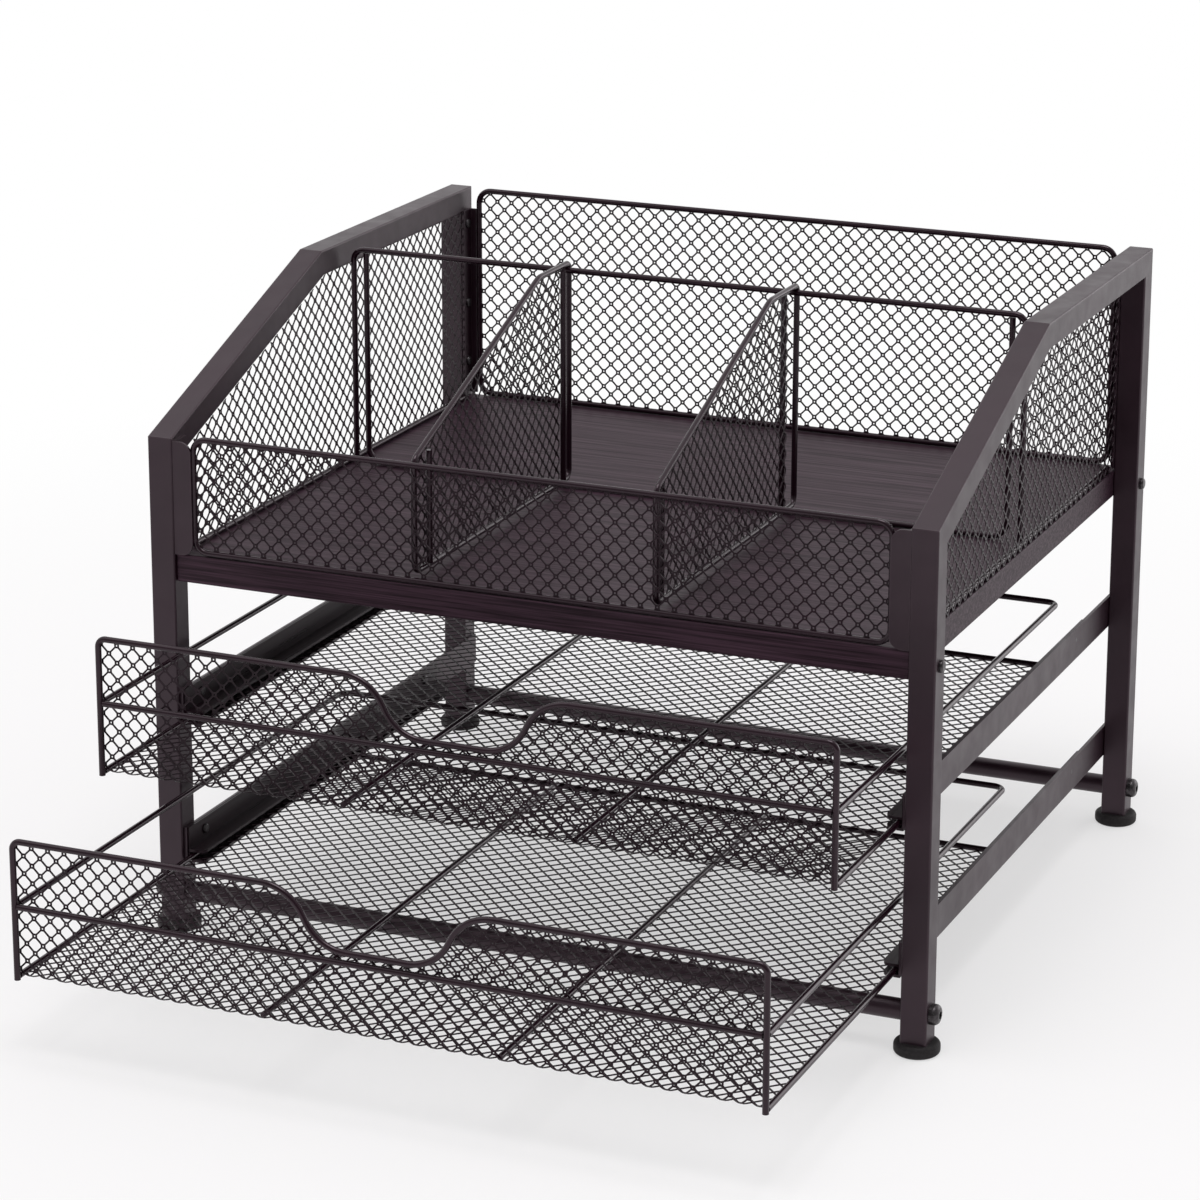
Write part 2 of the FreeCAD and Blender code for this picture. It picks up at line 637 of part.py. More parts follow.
STRIP_FRONT = f"({HALF_DEPTH} - dims.tube_size)"
for side_name, side in SIDES:
    strip = new_body(f"{side_name}_back_strip")
    strip_edge = f"{side} * ({INNER_FACE} - dims.strip_reach)"
    pad(strip, draw_line(sketch_on(strip, "XY_Plane", "dims.shelf_top + dims.strip_low"), sharp(
        (f"{side} * {INNER_FACE}", STRIP_FRONT),
        (f"{side} * {INNER_FACE}", f"{PANEL_Y} + dims.mesh_sheet / 2"),
        (strip_edge, f"{PANEL_Y} + dims.mesh_sheet / 2"),
        (strip_edge, f"{PANEL_Y} - dims.mesh_sheet / 2"),
        (f"{side} * {SHEET_FACE}", f"{PANEL_Y} - dims.mesh_sheet / 2"),
        (f"{side} * {SHEET_FACE}", STRIP_FRONT),
    )), "dims.frame_top - dims.strip_drop - dims.shelf_top - dims.strip_low")
    drill_rivets(strip)
    place(strip)


def rivet(label, grip):
    """A rivet with a low round head, for sheets of this thickness together."""
    return turned(label, (
        ("0", f"-({grip})", "0"),
        ("dims.rivet_shank / 2", f"-({grip})", "0"),
        ("dims.rivet_shank / 2", "0", "0"),
        ("dims.rivet_head / 2", "0", "0"),
        ("dims.rivet_head / 2", "dims.rivet_head_height", "dims.rivet_round"),
        ("0", "dims.rivet_head_height", "0"),
    ))


strip_rivet = rivet("strip_rivet", "dims.mesh_sheet + dims.tube_wall")
set_of("back_rivets", strip_rivet, [
    (f"{side} * {SHEET_FACE}", RIVET_Y, f"dims.shelf_top + {height}", inwards[side])
    for _, side in SIDES for height in RIVET_HEIGHTS
])

# Side panels: a sheet of mesh on the inner face of each frame, with a wire at its foot
MESH_DEPTH = "(dims.tube_size - dims.mesh_overlap)"
MESH_FRONT = f"(dims.tube_size + dims.side_gap - {HALF_DEPTH})"
MESH_BACK = f"({HALF_DEPTH} - dims.tube_size - dims.side_gap)"
mesh_knee = frame_corners(MESH_DEPTH)[2]
MESH_FRONT_TOP = f"dims.front_top + {SLOPE} * ({MESH_FRONT} + {HALF_DEPTH}) - {SLANT} * {MESH_DEPTH}"
side_outline = [
    (MESH_FRONT, "dims.shelf_top"),
    (MESH_FRONT, MESH_FRONT_TOP),
    mesh_knee,
    (MESH_BACK, mesh_knee[1]),
    (MESH_BACK, "dims.shelf_top"),
]
side_points = [Vector(0, value(along), value(up)) for along, up in side_outline]
side_face = Part.Face(Part.makePolygon([*side_points, side_points[0]]))
turned_back = Rotation(UP, ALONG)
turned_aside = Rotation(UP, ACROSS)
for side_name, side in SIDES:
    panel = mesh_sheet(f"{side_name}_side_mesh", side_face, ALONG, UP)
    place(panel, across=f"{side} * ({INNER_FACE} - dims.mesh_sheet / 2)")
    foot_wire = straight_wire(
        f"{side_name}_side_wire", turned_back,
        f"{MESH_BACK} - {MESH_FRONT} - 2 * dims.side_wire_inset",
    )
    keep(foot_wire, f"{side_name}_side_wire")
    place(foot_wire, f"{side} * {SIDE_WIRE_X}", f"{MESH_FRONT} + dims.side_wire_inset", ON_SHELF)

# Cross frame: an arch that stands on the shelf, and a brace hung inside it
cross_frame, _ = bent_wire(
    "cross_frame_wire", "XZ_Plane",
    (
        (f"-{CROSS_X}", "dims.shelf_top", "0"),
        (f"-{CROSS_X}", CROSS_TOP, "dims.cross_bend"),
        (CROSS_X, CROSS_TOP, "dims.cross_bend"),
        (CROSS_X, "dims.shelf_top", "0"),
    ),
    False, "XY_Plane", (f"-{CROSS_X}", "0"), "dims.shelf_top",
)
place(cross_frame, along="dims.cross_place")

BRACE_X = f"({CROSS_X} - dims.brace_inset)"
BRACE_TOP = f"({CROSS_TOP} - {TOUCH})"
cross_brace, _ = bent_wire(
    "cross_brace_wire", "XZ_Plane",
    (
        (f"-{BRACE_X}", BRACE_TOP, "0"),
        (f"-{BRACE_X}", ON_SHELF, "dims.brace_bend"),
        (BRACE_X, ON_SHELF, "dims.brace_bend"),
        (BRACE_X, BRACE_TOP, "0"),
    ),
    False, "XY_Plane", (f"-{BRACE_X}", "0"), BRACE_TOP,
)
place(cross_brace, along="dims.cross_place")

# Dividers: a wire loop filled with mesh, with an upright stay near each end.
# The loop's upper back corner is hooked over the top wire of the cross frame.
DIVIDER_FRONT = f"({BESIDE} - {PANEL_Y})"
DIVIDER_BACK = f"(dims.cross_place + {BESIDE})"
DIVIDER_LOW = f"({ON_SHELF} + {BESIDE})"
DIVIDER_HIGH = f"({CROSS_TOP} + {BESIDE})"
DIVIDER_KNEE = f"({DIVIDER_BACK} - dims.divider_level)"
DIVIDER_CORNER = f"({FRONT_TOP_WIRE} + dims.divider_lift)"
DIVIDER_SLOPE = f"(({DIVIDER_HIGH} - {DIVIDER_CORNER}) / ({DIVIDER_KNEE} - {DIVIDER_FRONT}))"
STAY_FOOT = f"({DIVIDER_LOW} + {TOUCH})"
STAY_CORNER = f"{DIVIDER_CORNER} + {DIVIDER_SLOPE} * (dims.stay_inset - {WIRE_RADIUS})"
FRONT_STAY_TOP = f"({STAY_CORNER} - {TOUCH} * sqrt(1 + {DIVIDER_SLOPE}^2))"
BACK_STAY_TOP = f"({DIVIDER_HIGH} - {TOUCH})"
hook_width = value("dims.tube_size")
hook_end = Vector(-hook_width / 2, value("dims.cross_place"), value(CROSS_TOP))
hook = Part.makeCylinder(value(TOUCH), hook_width, hook_end, ACROSS)
for side_name, side in SIDES:
    divider, divider_path = bent_wire(
        f"{side_name}_divider_wire", "YZ_Plane",
        (
            ("0", DIVIDER_LOW, "0"),
            (DIVIDER_BACK, DIVIDER_LOW, "dims.divider_bend"),
            (DIVIDER_BACK, DIVIDER_HIGH, BESIDE),
            (DIVIDER_KNEE, DIVIDER_HIGH, "dims.divider_knee"),
            (DIVIDER_FRONT, DIVIDER_CORNER, "dims.divider_bend"),
            (DIVIDER_FRONT, DIVIDER_LOW, "dims.divider_bend"),
        ),
        True, "XZ_Plane", ("0", DIVIDER_LOW),
    )
    place(divider, across=f"{side} * dims.divider_place")
    divider_mesh = mesh_sheet(f"{side_name}_divider_mesh", inside_wire(divider_path), ALONG, UP)
    divider_mesh.Shape = divider_mesh.Shape.cut(hook)
    place(divider_mesh, across=f"{side} * dims.divider_place")
    stay_x = f"{side} * (dims.divider_place - dims.mesh_sheet / 2 - {TOUCH})"
    stays = []
    for end_name, along, top in (
        ("front", f"({DIVIDER_FRONT} + dims.stay_inset)", FRONT_STAY_TOP),
        ("back", f"({DIVIDER_BACK} - dims.stay_inset)", BACK_STAY_TOP),
    ):
        stay = straight_wire(f"{side_name}_{end_name}_stay", upright, f"{top} - {STAY_FOOT}")
        place(stay, stay_x, along, STAY_FOOT)
        stays.append(stay)
    pair = doc.addObject("Part::Compound", f"{side_name}_divider_stays")
    pair.Links = stays
    keep(pair, f"{side_name}_divider_stays")

# Rails and runners: a flat rail welded to the posts, with a channel riveted to its inner face
RIVET_FRONT = f"({RUNNER_FRONT} + dims.runner_rivet_inset)"
RIVET_BACK = f"({RUNNER_FRONT} + dims.runner_length - dims.runner_rivet_inset)"
LOWER_LIP = f"(-{WIRE_RADIUS} - dims.run_gap)"
UPPER_LIP = f"({WIRE_RADIUS} + dims.run_gap)"


def drill_runner(body):
    """Holes for the two rivets that hold a runner to its rail."""
    sketch = sketch_on(body, "YZ_Plane")
    for along in (RIVET_FRONT, RIVET_BACK):
        draw_circle(sketch, along, "dims.runner_rivet_rise", RIVET_HOLE)
    cut(body, sketch)


def rail(level, side_name, side):
    """A flat rail on the inner faces of both posts of one side."""
    body = new_body(f"{side_name}_{level}_rail")
    rail_end = f"({HALF_DEPTH} - dims.rail_inset)"
    outline = sharp(
        (f"-{rail_end}", "-dims.rail_drop"),
        (rail_end, "-dims.rail_drop"),
        (rail_end, "dims.rail_width - dims.rail_drop"),
        (f"-{rail_end}", "dims.rail_width - dims.rail_drop"),
    )
    pad(body, draw_line(sketch_on(body, "YZ_Plane"), outline), "dims.rail_thickness", both_ways=True)
    drill_runner(body)
    place(body, f"{side} * ({INNER_FACE} - dims.rail_thickness / 2)", up=f"dims.{level}_height")


def runner(level, side_name, side):
    """A channel with two lips, which hold a drawer's floor wire between them."""
    body = new_body(f"{side_name}_{level}_runner")

    def inward(distance):
        return f"{side} * ({RAIL_FACE} - {distance})"

    profile = sharp(
        (inward("0"), f"{LOWER_LIP} - dims.runner_lip"),
        (inward("dims.runner_reach"), f"{LOWER_LIP} - dims.runner_lip"),
        (inward("dims.runner_reach"), LOWER_LIP),
        (inward("dims.runner_web"), LOWER_LIP),
        (inward("dims.runner_web"), UPPER_LIP),
        (inward("dims.runner_reach"), UPPER_LIP),
        (inward("dims.runner_reach"), f"{UPPER_LIP} + dims.runner_lip"),
        (inward("dims.runner_web"), f"{UPPER_LIP} + dims.runner_lip"),
        (inward("dims.runner_web"), "dims.runner_rise"),
        (inward("0"), "dims.runner_rise"),
    )
    sketch = draw_line(sketch_on(body, "XZ_Plane", f"-{RUNNER_FRONT}"), profile)
    pad(body, sketch, "dims.runner_length", backwards=True)
    tip = value(inward("dims.runner_reach"))
    front = value(RUNNER_FRONT)
    round_edges(body, "dims.runner_round", lambda start, end: all(
        abs(point.x - tip) < CLOSE and abs(point.y - front) < CLOSE for point in (start, end)
    ))
    drill_runner(body)
    place(body, up=f"dims.{level}_height")


for level in DRAWERS:
    for side_name, side in SIDES:
        rail(level, side_name, side)
        runner(level, side_name, side)

runner_rivet = rivet("runner_rivet", "dims.runner_web + dims.rail_thickness")
set_of("runner_rivets", runner_rivet, [
    (
        f"{side} * ({RAIL_FACE} - dims.runner_web)", along,
        f"dims.{level}_height + dims.runner_rivet_rise", inwards[side],
    )
    for level in DRAWERS for _, side in SIDES for along in (RIVET_FRONT, RIVET_BACK)
])

# Drawers: bent wires around one folded sheet of mesh, seen from the drawer's own front wire.
# The sheet lies behind the front wires and under the floor wires.
SHEET_LOW = f"(-{WIRE_RADIUS})"
FLOOR_END = f"(dims.drawer_length - {TOUCH})"
FLOOR_WIRE_RISE = f"({SHEET_LOW} + dims.mesh_sheet + {TOUCH})"
NOTCH_FLOOR = "(dims.drawer_rise - dims.notch_depth)"


def band(face, direction, low, high):
    """The part of a drawer's flat face between two places along one direction."""
    reach = ACROSS * value(f"2 * {DRAWER_HALF}")
    corners = [direction * low - reach, direction * low + reach]
    corners += [direction * high + reach, direction * high - reach]
    return face.common(Part.Face(Part.makePolygon([*corners, corners[0]]))).Faces[0]


def folded_mesh(label, front_path, floor_path):
    """One sheet of mesh that covers the drawer's floor and turns up into its front."""
    thickness = value("dims.mesh_sheet")
    low = value(SHEET_LOW)
    front = band(inside_wire(front_path), UP, low, value("dims.drawer_rise"))
    floor = band(inside_wire(floor_path), ALONG, value(SHEET_BACK), value(FLOOR_END))
    front.translate(ALONG * value(TOUCH))
    floor.translate(UP * low)
    front_sheet = mesh_face(front, ACROSS, UP).extrude(ALONG * thickness)
    floor_sheet = mesh_face(floor, ACROSS, ALONG).extrude(UP * thickness)
    piece = doc.addObject("Part::Feature", label)
    piece.Shape = front_sheet.fuse(floor_sheet)
    return keep(piece, label)


def drawer(level):
    """The six pieces of a drawer: front wire, cross wire, guard wire, base wire, floor wires and mesh."""
    along = f"-({HALF_DEPTH} + dims.{level}_out)"
    height = f"dims.{level}_height"
    front, front_path = bent_wire(
        f"{level}_drawer_front_wire", "XZ_Plane",
        (
            (f"-{DRAWER_HALF}", f"-{WIRE_RADIUS}", "0"),
            (f"-{DRAWER_HALF}", "dims.drawer_rise", "dims.drawer_bend"),
            ("-dims.notch_shoulder", "dims.drawer_rise", "dims.notch_bend"),
            ("-dims.notch_floor", NOTCH_FLOOR, "dims.notch_bend"),
            ("dims.notch_floor", NOTCH_FLOOR, "dims.notch_bend"),
            ("dims.notch_shoulder", "dims.drawer_rise", "dims.notch_bend"),
            (DRAWER_HALF, "dims.drawer_rise", "dims.drawer_bend"),
            (DRAWER_HALF, f"-{WIRE_RADIUS}", "0"),
        ),
        False, "XY_Plane", (f"-{DRAWER_HALF}", "0"), f"-{WIRE_RADIUS}",
    )
    place(front, along=along, up=height)
    rod_start = f"({TOUCH} - {DRAWER_HALF})"
    rod = straight_wire(f"{level}_drawer_cross_wire", turned_aside, f"-2 * {rod_start}")
    keep(rod, f"{level}_drawer_cross_wire")
    place(rod, rod_start, along, f"{height} + dims.guard_rise")
    rims = {}
    for name, up, bend in (
        ("guard", "dims.guard_rise", "dims.guard_bend"),
        ("base", "0", "dims.drawer_bend"),
    ):
        rim, rims[name] = bent_wire(
            f"{level}_drawer_{name}_wire", "XY_Plane",
            (
                (f"-{DRAWER_HALF}", TOUCH, "0"),
                (f"-{DRAWER_HALF}", "dims.drawer_length", bend),
                (DRAWER_HALF, "dims.drawer_length", bend),
                (DRAWER_HALF, TOUCH, "0"),
            ),
            False, "XZ_Plane", (f"-{DRAWER_HALF}", "0"), f"-{TOUCH}",
        )
        place(rim, along=along, up=f"{height} + {up}")
    floor_wires = []
    rod_start = f"({SHEET_BACK} + dims.weld_gap)"
    for side_name, side in SIDES:
        rod = straight_wire(f"{level}_{side_name}_floor_wire", turned_back, f"{FLOOR_END} - {rod_start}")
        across = f"{side} * dims.floor_wire_place"
        place(rod, across, f"{along} + {rod_start}", f"{height} + {FLOOR_WIRE_RISE}")
        floor_wires.append(rod)
    pair = doc.addObject("Part::Compound", f"{level}_drawer_floor_wires")
    pair.Links = floor_wires
    keep(pair, f"{level}_drawer_floor_wires")
    place(folded_mesh(f"{level}_drawer_mesh", front_path, rims["base"]), along=along, up=height)


for level in DRAWERS:
    drawer(level)

# Check every object, then write one file for each sub-part
doc.recompute()
for item in doc.Objects:
    if {"Invalid", "Error"} & set(item.State):
        raise RuntimeError(f"{item.Label} failed: {item.State}")
os.makedirs("parts", exist_ok=True)
for piece in kept:
    if piece.Shape.isNull() or not piece.Shape.isValid():
        raise RuntimeError(f"{piece.Label} has no valid shape")
for piece in kept:
    piece.Shape.exportStep(f"parts/{piece.Label}.step")
    box = piece.Shape.BoundBox
    solids = len(piece.Shape.Solids)
    print(f"{piece.Label}: {solids} solids, {piece.Shape.Volume:.0f} mm3, {box}")
print(len(kept), "sub-parts")
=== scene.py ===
# %% [markdown]
# This lesson dresses a coffee station organizer: two side frames of square tube, a dark wooden shelf with
# mesh compartments on it, and two mesh drawers that slide below it. The real object is welded steel with a
# satin, near-black powder coat. The solid model brings every tube, wire, rail and fastener at its true size.
# What it lacks is the fine mesh, because thousands of small openings are easy to repeat in a mesh editor and
# slow in a solid model. So the lesson has two parts: painting everything, and weaving the mesh.

# %% The frame: every solid piece, fixed in its place
import json
import math

import bmesh
import bpy
from mathutils import Matrix, Vector


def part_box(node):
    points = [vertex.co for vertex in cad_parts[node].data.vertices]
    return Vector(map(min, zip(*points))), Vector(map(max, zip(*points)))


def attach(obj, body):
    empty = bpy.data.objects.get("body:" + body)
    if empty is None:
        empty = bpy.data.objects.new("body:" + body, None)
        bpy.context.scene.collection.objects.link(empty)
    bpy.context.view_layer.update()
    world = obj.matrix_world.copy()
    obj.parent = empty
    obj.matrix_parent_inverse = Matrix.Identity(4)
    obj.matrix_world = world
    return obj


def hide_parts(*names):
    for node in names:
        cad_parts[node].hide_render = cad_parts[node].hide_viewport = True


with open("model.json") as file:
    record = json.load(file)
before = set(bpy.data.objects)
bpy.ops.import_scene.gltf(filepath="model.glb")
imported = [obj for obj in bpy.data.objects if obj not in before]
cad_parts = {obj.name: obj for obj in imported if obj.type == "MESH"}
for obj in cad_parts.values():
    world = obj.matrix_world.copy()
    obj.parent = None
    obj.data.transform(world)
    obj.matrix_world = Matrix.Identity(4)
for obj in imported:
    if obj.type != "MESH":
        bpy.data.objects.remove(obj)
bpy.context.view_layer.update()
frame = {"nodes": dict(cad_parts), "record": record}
nodes = frame["nodes"]
MM = 0.001

# %% [markdown]
# The camera comes first, because every later choice is judged through it. A long lens from two metres away
# keeps the side frames nearly parallel, as in a catalogue picture. The view is given as a turn around the
# object, a height angle and a distance, which is how a photographer would describe it. The picture's middle
# isn't on the lens axis, so a small shift moves the frame without turning the camera.

# %% The camera at the photographer's place
PICTURE_SIDE = 1200
FOCAL_PIXELS = 3987
AXIS_PIXEL = (668, 469)
SENSOR = 36
TURN = math.radians(22.27)
HEIGHT_ANGLE = math.radians(15.68)
ROLL = math.radians(0.39)
DISTANCE = 2000.4 * MM
AIM = Vector((0.3, 79.5, 215.8)) * MM


def direction(turn, height_angle):
    """A unit vector away from the object, turned from the front towards the right and raised."""
    level = math.cos(height_angle)
    return Vector((math.sin(turn) * level, -math.cos(turn) * level, math.sin(height_angle)))


def facing_back(towards, distance):
    """The place of a camera or lamp that stands off the aim along a direction and faces back at it."""
    turned = towards.to_track_quat("Z", "Y").to_matrix().to_4x4()
    return Matrix.Translation(AIM + towards * distance) @ turned


camera = bpy.data.objects.new("camera", bpy.data.cameras.new("camera"))
bpy.context.scene.collection.objects.link(camera)
camera.data.sensor_width = SENSOR
camera.data.lens = SENSOR * FOCAL_PIXELS / PICTURE_SIDE
camera.data.shift_x = (PICTURE_SIDE / 2 - AXIS_PIXEL[0]) / PICTURE_SIDE
camera.data.shift_y = (AXIS_PIXEL[1] - PICTURE_SIDE / 2) / PICTURE_SIDE
camera.data.clip_end = 20
camera.matrix_world = facing_back(direction(TURN, HEIGHT_ANGLE), DISTANCE) @ Matrix.Rotation(ROLL, 4, "Z")
bpy.context.scene.camera = camera
print(f"camera with a {camera.data.lens:.1f} mm lens, {DISTANCE:.2f} m away")

# %% [markdown]
# Every finish here is made of the same few kinds of shader node, so a small workbench for them comes next.
# A finish could be clicked together in the node editor. In a script, a helper that adds one node and sets
# its sockets keeps each finish down to a few lines that read like a recipe.

# %% A workbench for nodes
def feed(socket, value):
    """Sets a socket to a value, or links it to the output socket that feeds it."""
    if isinstance(value, bpy.types.NodeSocket):
        socket.id_data.links.new(value, socket)
    else:
        socket.default_value = value


def node(tree, kind, settings=None, **inputs):
    """A new node in a tree. Each input is a value, or the output socket that feeds it."""
    made = tree.nodes.new("ShaderNode" + kind)
    for name, value in (settings or {}).items():
        setattr(made, name, value)
    for name, value in inputs.items():
        feed(made.inputs[name.replace("_", " ")], value)
    return made


def worked_out(tree, kind, operation, *values):
    """A Math or VectorMath node whose sockets take the values in their order."""
    made = node(tree, kind, {"operation": operation})
    for socket, value in zip(made.inputs, values):
        feed(socket, value)
    return made


def product(tree, first, second):
    """Two numbers multiplied."""
    return worked_out(tree, "Math", "MULTIPLY", first, second).outputs[0]


def ramp(tree, value, start, end, low=0, high=1, curve="LINEAR"):
    """A number that runs from low to high while the value runs from start to end."""
    inputs = {"Value": value, "From_Min": start, "From_Max": end, "To_Min": low, "To_Max": high}
    return node(tree, "MapRange", {"interpolation_type": curve}, **inputs).outputs["Result"]


print("workbench for nodes ready")

# %% [markdown]
# The patterns come from noise on Object coordinates, which belong to the piece and don't slide when it moves
# with a drawer. A texture picture would need unwrapped surfaces on every tube. Noise needs none, and it is
# stretched along an axis where the real surface has streaks.

# %% A workbench for finishes
def stretched_place(tree, scale=(1, 1, 1)):
    """Object coordinates in metres, multiplied along each axis."""
    place = node(tree, "TexCoord").outputs["Object"]
    return node(tree, "Mapping", Vector=place, Scale=scale).outputs["Vector"]


def noise(tree, place, scale=1.0, detail=3.0, roughness=0.55):
    """A noise that runs from about 0.3 to 0.7."""
    return node(tree, "TexNoise", Vector=place, Scale=scale, Detail=detail, Roughness=roughness).outputs["Fac"]


def between(tree, pattern, low=0, high=1):
    """A number that runs from low to high while a noise runs over its usual range."""
    return ramp(tree, pattern, 0.3, 0.7, low, high)


def mixed(tree, factor, first, second):
    """A colour between two colours. The first may be an output socket."""
    made = node(tree, "Mix", {"data_type": "RGBA"})
    feed(made.inputs[0], factor)
    feed(made.inputs[6], first if isinstance(first, bpy.types.NodeSocket) else (*first, 1))
    feed(made.inputs[7], (*second, 1))
    return made.outputs[2]


def new_finish(name, **sockets):
    """A material with one Principled shader, its node tree, and the shader."""
    material = bpy.data.materials.new(name)
    material.use_nodes = True
    shader = material.node_tree.nodes["Principled BSDF"]
    for socket, value in sockets.items():
        feed(shader.inputs[socket.replace("_", " ")], value)
    return material, material.node_tree, shader


def dress(shader, colour, roughness, height, strength, depth):
    """Gives a shader its colour, its roughness and a bump of some depth in metres."""
    bump = node(shader.id_data, "Bump", Height=height, Strength=strength, Distance=depth)
    feed(shader.inputs["Base Color"], colour)
    feed(shader.inputs["Roughness"], roughness)
    feed(shader.inputs["Normal"], bump.outputs["Normal"])


print("workbench for finishes ready")

# %% [markdown]
# The tubes have a satin powder coat, sprayed as dust and melted in an oven. It is nearly black with a warm,
# plum tint, and very slightly uneven: soft clouds of lighter and darker tone and a fine orange-peel surface.
# The edges get a painted highlight, a slightly lighter colour close to them. A flat dark colour would look
# like plastic. Noise at two sizes gives the clouds and the orange peel. The Bevel node finds the edges for the
# painted highlight, because it bends the normal near them and nowhere else.

# %% Satin powder coat for the square tubes
PLUM_SHEEN = (1.0, 0.84, 0.93, 1)
# How far from an edge the painted highlight reaches, and how strong it gets at most.
EDGE_REACH = 0.9 * MM
MOST_EDGE_HIGHLIGHT = 0.3


# A painted highlight: the colour is made lighter close to every edge, where light would catch the rounding.
def painted_edge_highlight(tree, place):
    """A number that is above 0 only close to an edge, and uneven along it."""
    bent = node(tree, "Bevel", {"samples": 4}, Radius=EDGE_REACH).outputs["Normal"]
    straight = node(tree, "NewGeometry").outputs["Normal"]
    agreement = worked_out(tree, "VectorMath", "DOT_PRODUCT", bent, straight).outputs["Value"]
    edge = ramp(tree, agreement, 0.999, 0.93, 0, MOST_EDGE_HIGHLIGHT)
    return product(tree, edge, between(tree, noise(tree, place, 190), 0.2, 1))


def satin_coat(name, shine, dark, light, roughness, peel_depth, edge_highlight_tone=None):
    """A powder coat with clouds of tone and a fine orange peel, and a painted highlight on its edges where an
    edge highlight tone is given.
    """
    material, tree, shader = new_finish(name, Specular_IOR_Level=shine, Specular_Tint=PLUM_SHEEN)
    place = stretched_place(tree)
    colour = mixed(tree, between(tree, noise(tree, place, 28, 4)), dark, light)
    # The edge tone is a painted highlight along the edges, not wear.
    if edge_highlight_tone:
        colour = mixed(tree, painted_edge_highlight(tree, place), colour, edge_highlight_tone)
    gloss = between(tree, noise(tree, place, 75, 2), *roughness)
    dress(shader, colour, gloss, noise(tree, place, 1500, 2, 0.6), strength=0.35, depth=peel_depth)
    return material


tube_coat = satin_coat(
    "satin_plum_black_powder_coat", shine=0.55, dark=(0.008, 0.0015, 0.0045), light=(0.015, 0.004, 0.009),
    roughness=(0.36, 0.46), peel_depth=0.03 * MM, edge_highlight_tone=(0.080, 0.060, 0.070),
)
print("made", tube_coat.name)

# %% [markdown]
# The wires and the mesh went through the same oven, but a coat runs together on thin steel, so it is
# smoother there. The same recipe with less roughness and no painted edge highlight gives that. The runners are
# rolled from pre-coated strip, which leaves faint marks along their length.

# %% Coats for wires, mesh and runners
wire_coat = satin_coat(
    "glossier_coat_on_round_wire", shine=0.42, dark=(0.006, 0.001, 0.003), light=(0.012, 0.003, 0.007),
    roughness=(0.15, 0.22), peel_depth=0.012 * MM,
)
mesh_coat = satin_coat(
    "coat_on_expanded_mesh", shine=0.26, dark=(0.004, 0.0008, 0.002), light=(0.010, 0.0025, 0.006),
    roughness=(0.34, 0.46), peel_depth=0.02 * MM,
)


def rolled_coat(name):
    """A smooth black coat with rolling marks along Y."""
    material, tree, shader = new_finish(name, Specular_IOR_Level=0.30, Specular_Tint=PLUM_SHEEN)
    marks = noise(tree, stretched_place(tree, (420, 9, 420)), detail=4)
    colour = mixed(tree, between(tree, marks), (0.004, 0.0006, 0.002), (0.010, 0.0025, 0.006))
    dress(shader, colour, between(tree, marks, 0.26, 0.42), marks, strength=0.25, depth=0.02 * MM)
    return material


runner_coat = rolled_coat("rolled_coat_on_runners")
print("made", wire_coat.name, mesh_coat.name, runner_coat.name)

# %% [markdown]
# The shelf is a board with a black stain, and its grain runs from side to side. Wood grain is noise that is
# stretched along one axis: the long streaks are the growth rings, the short fine ones are pores. Both could
# be painted as a picture. Stretched noise on Object coordinates runs through the board as real grain does,
# so the top and the front edge match at their corner.

# %% Black stained wood for the shelf
PORE_SHARE = 0.55


def stained_wood(name):
    """Dark wood with its grain along X."""
    material, tree, shader = new_finish(name, Specular_IOR_Level=0.22, Specular_Tint=PLUM_SHEEN)
    rings = noise(tree, stretched_place(tree, (6, 420, 480)), detail=5, roughness=0.6)
    pores = noise(tree, stretched_place(tree, (20, 1000, 1000)), detail=3, roughness=0.6)
    ring_part = product(tree, rings, 1 - PORE_SHARE)
    grain = worked_out(tree, "Math", "MULTIPLY_ADD", pores, PORE_SHARE, ring_part).outputs[0]
    colour = mixed(tree, ramp(tree, grain, 0.41, 0.61), (0.008, 0.002, 0.005), (0.050, 0.024, 0.038))
    dress(shader, colour, between(tree, grain, 0.58, 0.40), grain, strength=0.6, depth=0.12 * MM)
    return material


shelf_stain = stained_wood("black_stained_wood")
print("made", shelf_stain.name)

# %% [markdown]
# Bolts, screws and rivets are blackened steel: the metal shows through, so this finish is metallic and the
# rest are not. The feet are moulded rubber, fully matt, with a dusty unevenness.

# %% Blackened fasteners and rubber feet
def blackened_steel(name):
    """A dark metal with small patches of higher polish."""
    material, tree, shader = new_finish(name, Metallic=0.85, Specular_IOR_Level=0.5)
    place = stretched_place(tree)
    patches = noise(tree, place, 420, 4)
    colour = mixed(tree, between(tree, patches), (0.035, 0.030, 0.033), (0.085, 0.078, 0.082))
    gloss = between(tree, patches, 0.38, 0.24)
    dress(shader, colour, gloss, noise(tree, place, 2200, 2), strength=0.3, depth=0.02 * MM)
    return material


def moulded_rubber(name):
    """A matt rubber with fine speckle."""
    material, tree, shader = new_finish(name, Specular_IOR_Level=0.3)
    place = stretched_place(tree)
    speckle = noise(tree, place, 900)
    colour = mixed(tree, between(tree, speckle), (0.010, 0.008, 0.009), (0.022, 0.019, 0.020))
    dullness = between(tree, noise(tree, place, 120), 0.62, 0.8)
    dress(shader, colour, dullness, speckle, strength=0.5, depth=0.05 * MM)
    return material


fastener_black = blackened_steel("blackened_fastener_steel")
foot_black = moulded_rubber("matt_foot_rubber")
print("made", fastener_black.name, foot_black.name)

# %% [markdown]
# Each solid piece already knows its material slot, so one table from slot to finish paints them all. The
# pieces' own meshes stay as they are.

